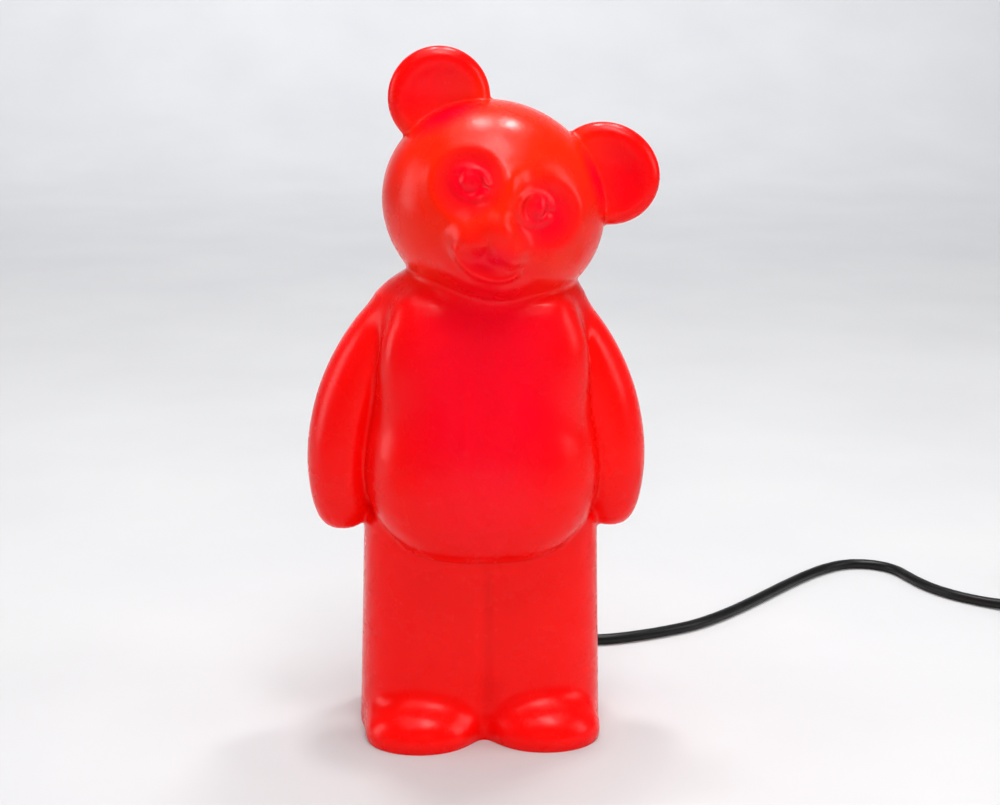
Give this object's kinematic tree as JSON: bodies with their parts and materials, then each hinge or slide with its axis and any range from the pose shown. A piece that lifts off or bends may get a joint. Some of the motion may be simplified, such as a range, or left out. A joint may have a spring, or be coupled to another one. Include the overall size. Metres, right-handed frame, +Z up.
{
  "type": "table lamp",
  "caption": "Free-standing bear-shaped table lamp: hollow translucent vinyl shell over a snap-in base with lampholder and bulb, and a mains lead with inline rocker switch.",
  "frame": {"origin": "on the table, under the middle of the lamp's box (lead, switch and plug left out)", "axes": "+Z up, the bear faces -Y, +X is to the viewer's right"},
  "size_m": [0.5616, 0.2729, 0.3326],
  "materials": {
    "red_vinyl": "satin-gloss moulded vinyl, slightly translucent, with a fine orange-peel texture",
    "black_plastic": "fine-textured black moulded plastic",
    "black_flex": "smooth black PVC cord sheath with a soft sheen",
    "black_rubber": "matt black rubber",
    "zinc_steel": "zinc-plated steel",
    "brass": "plain stamped brass",
    "nickel": "nickel-plated brass",
    "clear_glass": "clear blown glass",
    "white_ceramic": "glazed white porcelain",
    "tungsten": "dull tungsten wire",
    "blue_wire": "blue PVC core insulation",
    "brown_wire": "brown PVC core insulation"
  },
  "bodies": {
    "base": {"base_plate": "black_plastic", "foot_pad_1": "black_rubber", "foot_pad_2": "black_rubber", "foot_pad_3": "black_rubber", "foot_pad_4": "black_rubber", "strain_relief": "black_rubber", "cord_inner": "black_flex", "cord_clamp": "black_plastic", "clamp_screw_1": "zinc_steel", "clamp_screw_2": "zinc_steel", "threaded_nipple": "zinc_steel", "nipple_nut_lower": "zinc_steel", "nipple_nut_upper": "zinc_steel", "wire_neutral": "blue_wire", "wire_live": "brown_wire", "holder_cap": "black_plastic", "holder_sleeve": "black_plastic", "holder_core": "white_ceramic", "holder_thread_shell": "brass", "holder_centre_contact": "brass", "terminal_neutral": "brass", "terminal_live": "brass", "terminal_screw_neutral": "zinc_steel", "terminal_screw_live": "zinc_steel", "cord_lead": "black_flex", "switch_base": "black_plastic", "switch_cover": "black_plastic", "switch_screw_1": "zinc_steel", "switch_screw_2": "zinc_steel", "switch_contact_in": "brass", "switch_contact_out": "brass", "cord_link": "black_flex", "cord_coil": "black_flex", "coil_tie": "black_plastic", "cord_end": "black_flex", "plug_body": "black_plastic", "plug_pin_1": "nickel", "plug_pin_2": "nickel", "plug_pin_sleeve_1": "black_plastic", "plug_pin_sleeve_2": "black_plastic"},
    "shell": {"bear_shell": "red_vinyl"},
    "bulb": {"bulb_glass": "clear_glass", "bulb_cap": "nickel", "bulb_insulator": "black_plastic", "bulb_contact": "nickel", "bulb_stem": "clear_glass", "bulb_filament": "tungsten"},
    "rocker": {"switch_rocker": "black_plastic"}
  },
  "joints": [
    {"name": "shell_lift", "type": "slide", "parent": "base", "child": "shell", "axis": [0, 0, 1], "range_m": [0, 0.13]},
    {"name": "bulb_unscrew", "type": "slide", "parent": "base", "child": "bulb", "axis": [0, 0, 1], "range_m": [0, 0.03]},
    {"name": "switch_rocker_tilt", "type": "hinge", "parent": "base", "child": "rocker", "pos_m": [0.3645, 0.1099, 0.0132], "axis": [0.4695, 0.8829, 0], "range_deg": [0, 14]}
  ]
}
